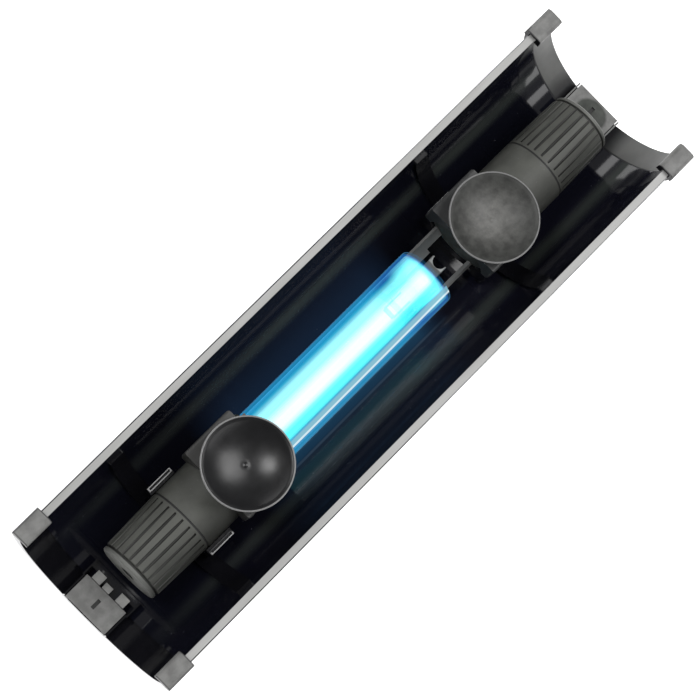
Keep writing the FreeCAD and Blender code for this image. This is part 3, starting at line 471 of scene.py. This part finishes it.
def quartz():
    """Clear glass: its steep sides gleam with a painted blue glow, and two painted highlight lines, one
    white and one grey, run along its top.
    """
    material, tree = new_material("quartz_glass")
    # Painted glow on the glass's steep sides.
    steep = node(tree, "LayerWeight", {"Blend": 0.5}).outputs["Facing"]
    sides = between(tree, math_node(tree, "POWER", steep, 7.0), 0.0, 1.0, 0.006, 0.8)
    wobble = between(tree, noise(tree, 60, 2, (0.3, 0, 0)), 0.3, 0.7, -0.1 * MM, 0.1 * MM)
    line_at = math_node(tree, "ADD", axis_value(tree, "Y"), wobble)
    upper = math_node(tree, "GREATER_THAN", axis_value(tree, "Z"), LAMP_Z + 5 * MM)
    # Painted highlights: a white and a grey line along the top of the sleeve.
    white = all_of(tree, upper, band(tree, line_at, -9.85 * MM, 0.55 * MM))
    grey = all_of(tree, upper, band(tree, line_at, -8.7 * MM, 1.3 * MM))
    highlight_lines = math_node(tree, "MAXIMUM", white, grey)
    line_colour = mix_colour(tree, white, (0.24, 0.50, 0.60), (0.85, 1.0, 1.0))
    clear = node(tree, "BsdfTransparent", {"Color": (0.97, 0.99, 1.0, 1)})
    gleam = node(tree, "BsdfPrincipled", {
        "Base Color": mix_colour(tree, highlight_lines, (0.18, 0.48, 0.80), (0.04, 0.04, 0.04)),
        "Metallic": between(tree, highlight_lines, 0, 1, 1.0, 0.0),
        "Roughness": between(tree, noise(tree, 160, 3), 0.3, 0.7, 0.02, 0.05),
        "Emission Color": mix_colour(tree, highlight_lines, (0.07, 0.31, 0.58), line_colour),
        "Emission Strength": 0.95,
    })
    share = math_node(tree, "MAXIMUM", sides, between(tree, highlight_lines, 0, 1, 0, 0.72))
    show(tree, node(tree, "MixShader", {0: share, 1: clear.outputs[0], 2: gleam.outputs[0]}))
    return material


def glow(name, colour, end_colour, fade, streak=0.08):
    """A thin layer of light: what is behind it shows through, with the light added to it.

    Its colour turns into the end colour over the stretch of X called fade."""
    material, tree = new_material(name)
    along = between(tree, noise(tree, 30, 3, (0.5, 1, 1)), 0.3, 0.7, 1 - streak, 1 + streak)
    tint = (*colour, 1)
    if end_colour != colour:
        turned_share = between(tree, axis_value(tree, "X"), *fade, smooth=True)
        tint = mix_colour(tree, turned_share, colour, end_colour)
    see = node(tree, "BsdfTransparent", {"Color": (1, 1, 1, 1)})
    light = node(tree, "Emission", {"Color": tint, "Strength": along})
    show(tree, node(tree, "AddShader", {0: see.outputs[0], 1: light.outputs[0]}))
    return material


def metal(name, colour):
    """Brushed metal, its gloss as uneven as its brush marks."""
    material, tree = new_material(name)
    brushed = noise(tree, 400, 3, (1, 1, 8))
    show(tree, node(tree, "BsdfPrincipled", {
        "Base Color": mix_colour(tree, brushed, scaled(colour, 0.85), colour),
        "Metallic": 1.0,
        "Roughness": between(tree, brushed, 0.3, 0.7, 0.25, 0.4),
        "Normal": bump(tree, brushed, 0.004 * MM),
    }))
    return material


def lit_metal(name):
    """The filaments and their posts, which glow like the gas around them."""
    material, tree = new_material(name)
    show(tree, node(tree, "BsdfPrincipled", {
        "Base Color": (0.05, 0.05, 0.05, 1),
        "Roughness": 0.6,
        "Emission Color": (0.06, 0.45, 0.5, 1),
        "Emission Strength": between(tree, noise(tree, 500, 2), 0.3, 0.7, 0.85, 1.05),
    }))
    return material


MATERIALS = {
    "shade_black": shade_plastic(),
    "collar_black": collar_plastic(),
    "keeper_grey": keeper_plastic(),
    "cradle_black": cradle_plastic(),
    "foot_rubber": rubber("foot_rubber", (0.018, 0.018, 0.018), (0.03, 0.03, 0.03), (0.6, 0.8)),
    "screw_steel": metal("screw_steel", (0.62, 0.62, 0.63)),
    "barrel_plastic": barrel_plastic(),
    "seal_rubber": rubber("seal_rubber", (0.012, 0.012, 0.012), (0.02, 0.02, 0.02), (0.5, 0.7)),
    "strut_plastic": strut_plastic(),
    "quartz": quartz(),
    "ring_plastic": moulded("ring_plastic", (0.42, 0.42, 0.42), (0.5, 0.5, 0.5)),
    "lit_glass": glow("lit_glass", (0.012, 0.06, 0.055), (0.008, 0.03, 0.035),
                      (TUBE_HIGH.x - 10 * MM, TUBE_HIGH.x)),
    "electrode_metal": lit_metal("electrode_metal"),
    "tip_plastic": tinted_clear("tip_plastic", (0.97, 1.0, 1.0), (0.5, 0.9, 0.9), 0.03),
    "spacer_silicone": tinted_clear("spacer_silicone", (0.93, 1.0, 1.0), (0.0, 0.5, 0.5), 0.03),
    "base_plastic": moulded("base_plastic", (0.68, 0.69, 0.71), (0.76, 0.77, 0.79)),
    "pin_brass": metal("pin_brass", (0.75, 0.58, 0.3)),
    "socket_plastic": moulded("socket_plastic", (0.62, 0.62, 0.6), (0.7, 0.7, 0.68)),
    "contact_brass": metal("contact_brass", (0.72, 0.56, 0.3)),
    "cap_plastic": cap_plastic(),
    "holder_plastic": holder_plastic(),
    "cup_rubber": cup_rubber("near", centre_colour=(0.006, 0.006, 0.007),
                             edge_colour=(0.005, 0.005, 0.006), lip_highlight_colour=(0.24, 0.24, 0.24),
                             rough=(0.27, 0.35), grain_depth=0.008, mottle=0.2, specular=0.6),
    # The far cup is greyer than the near one, partly as dust and partly as painted light, and lighter
    # in its middle as painted light.
    "cup_dusty": cup_rubber("far", centre_colour=(0.135, 0.134, 0.127),
                            edge_colour=(0.044, 0.045, 0.042), lip_highlight_colour=(0.20, 0.20, 0.20),
                            rough=(0.42, 0.55), grain_depth=0.06, mottle=0.3, specular=0.5),
}

def dress_cad_nodes():
    """Gives each CAD node the material of its slot."""
    slots = {s["node"]: s["material_slot"] for s in frame["record"]["subparts"]}
    for name, piece in frame["nodes"].items():
        piece.data.materials.clear()
        piece.data.materials.append(MATERIALS[slots[name]])


# ---------------------------------------------------------------- mesh helpers

def turned(name, profile, centre, axis, material, body, sides):
    """A surface of revolution. The profile's points are (radius, distance along the axis)."""
    mesh = bmesh.new()
    rings = []
    for radius, along in profile:
        if radius == 0:
            rings.append([mesh.verts.new(spun(centre, axis, 0, 0, along))])
            continue
        rings.append([mesh.verts.new(spun(centre, axis, radius, 2 * math.pi * k / sides, along))
                      for k in range(sides)])
    for a, b in zip(rings, rings[1:]):
        for k in range(sides):
            following = (k + 1) % sides
            corners = [a[k % len(a)], a[following % len(a)], b[following % len(b)], b[k % len(b)]]
            mesh.faces.new(list(dict.fromkeys(corners)))
    bmesh.ops.recalc_face_normals(mesh, faces=mesh.faces)
    for face in mesh.faces:
        face.smooth = True
    data = bpy.data.meshes.new(name)
    mesh.to_mesh(data)
    mesh.free()
    data.materials.append(material)
    piece = bpy.data.objects.new(name, data)
    scene.collection.objects.link(piece)
    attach(piece, body)
    return piece


def spun(centre, axis, radius, angle, along):
    """A point at a radius and an angle about an axis along X or Z through the centre."""
    a = radius * math.cos(angle)
    b = radius * math.sin(angle)
    offset = (along, a, b) if axis == "X" else (a, b, along)
    return Vector(centre) + Vector(offset)


def arc_points(centre_r, centre_h, radius, start, end, steps):
    """Points on an arc of a profile, with angles in degrees from the radius direction."""
    points = []
    for i in range(steps + 1):
        turn = math.radians(start + (end - start) * i / steps)
        points.append((centre_r + radius * math.cos(turn), centre_h + radius * math.sin(turn)))
    return points


# ---------------------------------------------------------------- suction cups

def make_cup(end, slot):
    """A thin rubber bowl with a beaded lip, a nub in its middle, and a neck that ends in a bulb."""
    low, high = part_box(end + "_suction_cup")
    middle = ((low.x + high.x) / 2, (low.y + high.y) / 2, low.z)
    height = high.z - low.z
    lip_r = (high.x - low.x) / 2 - 0.05 * MM
    bead = 0.5 * MM
    inner_ball = 28.6 * MM      # the radii of the bowl's two faces
    outer_ball = 25.6 * MM
    bowl_z = 5.6 * MM           # the lowest points of the two faces
    bottom_z = 3.5 * MM
    neck_r = 4.2 * MM
    bulb_r = 4.8 * MM
    nub_r = 0.9 * MM
    profile = [(0, bowl_z + 0.3 * MM), (nub_r * 0.6, bowl_z + 0.27 * MM), (nub_r, bowl_z + 0.1 * MM),
               (nub_r * 1.3, bowl_z + 0.02 * MM)]
    inner_start, inner_end, inner_steps = nub_r * 1.6, lip_r - 2 * bead, 14
    for i in range(1, inner_steps + 1):
        r = inner_start + (inner_end - inner_start) * i / inner_steps
        profile.append((r, bowl_z + inner_ball - math.sqrt(inner_ball ** 2 - r ** 2)))
    profile += arc_points(lip_r - bead, height - bead, bead, 150, -60, 8)
    outer_start, outer_end, outer_steps = lip_r - bead, neck_r + 0.8 * MM, 12
    for i in range(1, outer_steps + 1):
        r = outer_start - (outer_start - outer_end) * i / outer_steps
        profile.append((r, bottom_z + outer_ball - math.sqrt(outer_ball ** 2 - r ** 2)))
    profile += [(neck_r + 0.25 * MM, bottom_z + 0.1 * MM), (neck_r, bottom_z - 0.3 * MM),
                (neck_r, 0.9 * MM), (bulb_r, 0.75 * MM), (bulb_r, 0.15 * MM),
                (bulb_r - 0.3 * MM, 0.02 * MM), (0, 0.02 * MM)]
    body = "cable_end_cup" if end == "near" else "tail_end_cup"
    piece = turned(end + "_cup_moulding", profile, middle, "Z", MATERIALS[slot], body, sides=128)
    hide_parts(end + "_suction_cup")


# ---------------------------------------------------------------- the light in the lamp

def capsule(radius, x0, x1):
    """The profile of a rod along X with slightly bulging ends."""
    bulge = 0.8 * MM
    steps = 8
    points = [(0, x0)]
    for i in range(1, steps + 1):
        turn = math.pi / 2 * i / steps
        points.append((radius * math.sin(turn), x0 + bulge * (1 - math.cos(turn))))
    for i in range(steps, 0, -1):
        turn = math.pi / 2 * i / steps
        points.append((radius * math.sin(turn), x1 - bulge * (1 - math.cos(turn))))
    points.append((0, x1))
    return points


def make_light_layers():
    """Nested shells of light, from blue at the sleeve's wall to white in the tube's middle."""
    end = SLEEVE_HIGH.x - 0.5 * MM
    start = TUBE_LOW.x + 4 * MM
    fade = (end - 26 * MM, end - 12 * MM)
    # name, shells, first and last radius, first and last shift to the side (mm), colour, end colour
    groups = [
        ("haze", 1, 12.2, 12.2, 0, 0, (0.002, 0.095, 0.18), (0.002, 0.04, 0.145)),
        ("side_haze", 2, 9.6, 9.0, 1.5, 1.9, (0.001, 0.025, 0.045), (0, 0.005, 0.015)),
        ("sheath", 6, 8.6, 7.3, 0.9, 0.0, (0.006, 0.043, 0.03), (0.002, 0.05, 0.035)),
        ("bright", 4, 6.85, 5.3, 2.05, 2.1, (0.036, 0.01, 0.01), (0.022, 0.01, 0.01)),
        ("core", 5, 4.0, 1.6, 0.3, -0.3, (0.06, 0.01, 0.01), (0.06, 0.01, 0.01)),
    ]
    for name, count, r0, r1, shift0, shift1, colour, end_colour in groups:
        material = glow("light_" + name, colour, end_colour, fade)
        shells = []
        for k in range(count):
            share = k / max(count - 1, 1)
            radius = (r0 + (r1 - r0) * share) * MM
            shift = (shift0 + (shift1 - shift0) * share) * MM
            profile = capsule(radius, start + k * 0.3 * MM, end - k * 0.1 * MM)
            shells.append((profile, (0, shift, LAMP_Z)))
        light_pieces(name, shells, material)
    fill = glow("light_end_fill", (0, 0, 0), (0.025, 0.10, 0.08), (end - 12 * MM, end - 5.5 * MM))
    shells = [(capsule(radius * MM, end - 14 * MM, end - 0.1 * MM), (0, 0, LAMP_Z))
              for radius in (11.3, 10.6, 9.8)]
    light_pieces("end_fill", shells, fill)


def light_pieces(name, shells, material):
    """One piece for each shell. They light nothing else, and other pieces don't mirror them."""
    for k, (profile, centre) in enumerate(shells):
        piece = turned("light_%s_%d" % (name, k), profile, centre, "X", material, "lamp_unit",
                       sides=72)
        piece.visible_glossy = False
        piece.visible_diffuse = False


dress_cad_nodes()
make_cup("near", "cup_rubber")
make_cup("far", "cup_dusty")
make_light_layers()


# ---------------------------------------------------------------- floor, lights and camera

def make_floor():
    """Plain pale paper, lit a little from behind like a light table."""
    bpy.ops.mesh.primitive_plane_add(size=6, location=(0, 0, -0.0002))
    floor = bpy.context.object
    floor.name = "floor"
    material, tree = new_material("floor_paper")
    tone = mix_colour(tree, noise(tree, 3, 3), (0.90, 0.90, 0.90), (0.92, 0.92, 0.92))
    show(tree, node(tree, "BsdfPrincipled", {
        "Base Color": tone,
        "Roughness": 0.9,
        "Specular IOR Level": 0.1,
        "Emission Color": (1, 1, 1, 1),
        "Emission Strength": 0.8,
    }))
    floor.data.materials.append(material)


def softbox(name, size_x, size_y, place_at, target, power):
    data = bpy.data.lights.new(name, "AREA")
    data.shape = "RECTANGLE"
    data.size = size_x
    data.size_y = size_y
    data.energy = power
    lamp = bpy.data.objects.new(name, data)
    lamp.location = place_at
    lamp.rotation_euler = (Vector(target) - Vector(place_at)).to_track_quat("-Z", "Y").to_euler()
    scene.collection.objects.link(lamp)


def make_lights():
    softbox("key", 0.45, 0.4, (-0.42, 0.56, 1.5), (0, 0, 0), 7.5)
    softbox("fill", 1.1, 0.9, (0.68, -0.44, 1.5), (0, 0, 0), 15)
    softbox("left_strip", 1.4, 0.25, (0, 1.1, 0.5), (0, 0, 0.02), 2.2)
    softbox("right_strip", 1.4, 0.25, (0, -1.1, 0.5), (0, 0, 0.02), 2.2)
    world = bpy.data.worlds.new("studio")
    world.use_nodes = True
    background = world.node_tree.nodes["Background"]
    background.inputs["Color"].default_value = (1, 1, 1, 1)
    background.inputs["Strength"].default_value = 0.2
    scene.world = world
    scene.view_settings.view_transform = "Standard"
    scene.cycles.transparent_max_bounces = 64


def make_camera():
    """Looks down on the lamp from the cable end's side, with the lamp running up to the right."""
    data = bpy.data.cameras.new("camera")
    data.lens = 123.7
    data.sensor_width = 36
    data.clip_start = 0.05
    camera = bpy.data.objects.new("camera", data)
    camera.location = (-0.2149, 0.0195, 0.9121)
    camera.rotation_euler = Euler([math.radians(a) for a in (8.681, -10.329, -45.537)], "XYZ")
    scene.collection.objects.link(camera)
    scene.camera = camera


make_floor()
make_lights()
make_camera()
